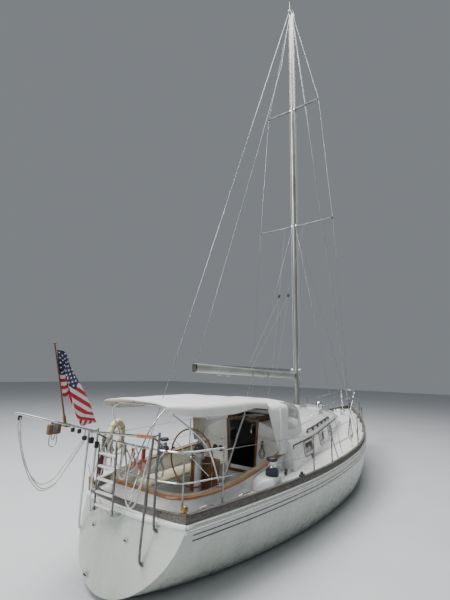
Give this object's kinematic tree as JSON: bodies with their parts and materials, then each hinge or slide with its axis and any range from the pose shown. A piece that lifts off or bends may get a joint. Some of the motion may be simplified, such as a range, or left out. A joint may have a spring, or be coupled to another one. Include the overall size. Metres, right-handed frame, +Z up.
{
  "type": "sailing yacht",
  "caption": "Masthead sloop cruising yacht afloat, sails off, with fin keel, skeg rudder, wheel steering, spray hood, bimini and stainless deck rails.",
  "frame": {"origin": "on the waterline, on the centreline, at the middle of the hull's length", "axes": "+X to the bow, +Y to port, +Z up"},
  "size_m": [11.9839, 3.2446, 17.01],
  "materials": {
    "gelcoat": "white gelcoat, lightly weathered",
    "strake_white": "off-white moulded strake with two dark lines below it",
    "deck_paint": "non-skid deck, pale cream panels",
    "bottom_paint": "matt antifouling",
    "varnished_teak": "varnished teak",
    "grey_teak": "bare teak weathered grey",
    "stainless": "polished stainless tube",
    "wire": "stainless wire rope",
    "spar": "satin grey aluminium",
    "canvas": "off-white acrylic canvas",
    "glass": "tinted window",
    "cushion": "cream vinyl cloth",
    "navy_cover": "black winch drum with a dark blue skirt",
    "bronze": "dull bronze",
    "iron": "painted engine block",
    "rope": "laid rope, weathered off-white",
    "flag_cloth": "striped cloth flag, red, white and blue"
  },
  "bodies": {
    "hull": {"hull_shell": "gelcoat", "keel": "bottom_paint", "skeg": "bottom_paint", "shaft_bracket": "bronze", "engine_block": "iron", "foredeck": "deck_paint", "side_deck_port": "deck_paint", "side_deck_starboard": "deck_paint", "aft_deck": "deck_paint", "coachroof": "gelcoat", "cabin_bulkhead": "gelcoat", "cockpit_tub": "gelcoat", "coaming_cap": "varnished_teak", "toe_rail": "grey_teak", "rub_strake": "strake_white", "window_glass_port": "glass", "window_glass_starboard": "glass", "companionway_steps": "varnished_teak", "sea_hood": "gelcoat", "handrail_port": "grey_teak", "handrail_starboard": "grey_teak", "dorade_vent_port": "gelcoat", "dorade_vent_starboard": "gelcoat", "windlass": "gelcoat", "bow_roller": "stainless", "mast": "spar", "spreaders_lower": "spar", "spreaders_upper": "spar", "masthead_gear": "stainless", "forestay_furler": "spar", "backstay": "wire", "cap_shroud_port": "wire", "cap_shroud_starboard": "wire", "pedestal": "stainless", "bow_pulpit": "stainless", "pushpit": "stainless", "side_rail_port": "stainless", "side_rail_starboard": "stainless", "stern_frame": "stainless", "flag_staff": "varnished_teak", "flag": "flag_cloth", "bimini": "canvas", "bimini_frame": "stainless", "dodger": "canvas", "dodger_frame": "stainless", "cushion_port": "cushion", "cushion_starboard": "cushion", "davit_fall": "rope", "stern_line": "rope", "hank_on_pushpit": "rope", "hank_on_bulkhead": "rope"},
    "boom": {"boom": "spar"},
    "rudder": {"rudder_blade": "bottom_paint"},
    "helm": {"steering_wheel": "varnished_teak"},
    "propeller": {"propeller": "bronze"},
    "companion_hatch": {"sliding_hatch": "gelcoat"},
    "fore_hatch": {"fore_hatch": "gelcoat"},
    "ladder": {"boarding_ladder": "stainless"},
    "winch_drum_port": {"winch_port": "navy_cover"},
    "winch_drum_starboard": {"winch_starboard": "navy_cover"}
  },
  "joints": [
    {"name": "boom_swing", "type": "hinge", "parent": "hull", "child": "boom", "pos_m": [0.255, 0, 2.59], "axis": [0, 0, 1], "range_deg": [-60, 60]},
    {"name": "rudder_turn", "type": "hinge", "parent": "hull", "child": "rudder", "pos_m": [-4.45, 0, -0.8], "axis": [0, 0, 1], "range_deg": [-35, 35]},
    {"name": "helm_turn", "type": "hinge", "parent": "hull", "child": "helm", "pos_m": [-3.91, 0, 1.28], "axis": [1, 0, 0], "range_deg": [-272, 272]},
    {"name": "propeller_turn", "type": "hinge", "parent": "hull", "child": "propeller", "pos_m": [-3.42, 0, -0.7], "axis": [0.9893, 0, 0.1459], "continuous": true},
    {"name": "hatch_slide", "type": "slide", "parent": "hull", "child": "companion_hatch", "axis": [1, 0, 0], "range_m": [-0.65, 0]},
    {"name": "fore_hatch_lift", "type": "hinge", "parent": "hull", "child": "fore_hatch", "pos_m": [2.22, 0, 1.735], "axis": [0, 1, 0], "range_deg": [0, 90]},
    {"name": "ladder_fold", "type": "hinge", "parent": "hull", "child": "ladder", "pos_m": [-5.35, 0.22, 0.85], "axis": [0, 1, 0], "range_deg": [-160, 0]},
    {"name": "winch_port_turn", "type": "hinge", "parent": "hull", "child": "winch_drum_port", "pos_m": [-3.34, 1.15, 1.12], "axis": [0, 0, 1], "continuous": true},
    {"name": "winch_starboard_turn", "type": "hinge", "parent": "hull", "child": "winch_drum_starboard", "pos_m": [-3.34, -1.15, 1.12], "axis": [0, 0, 1], "continuous": true}
  ],
  "couplings": [
    {"joint": "helm_turn", "follows": "rudder_turn", "ratio": 7.714}
  ]
}
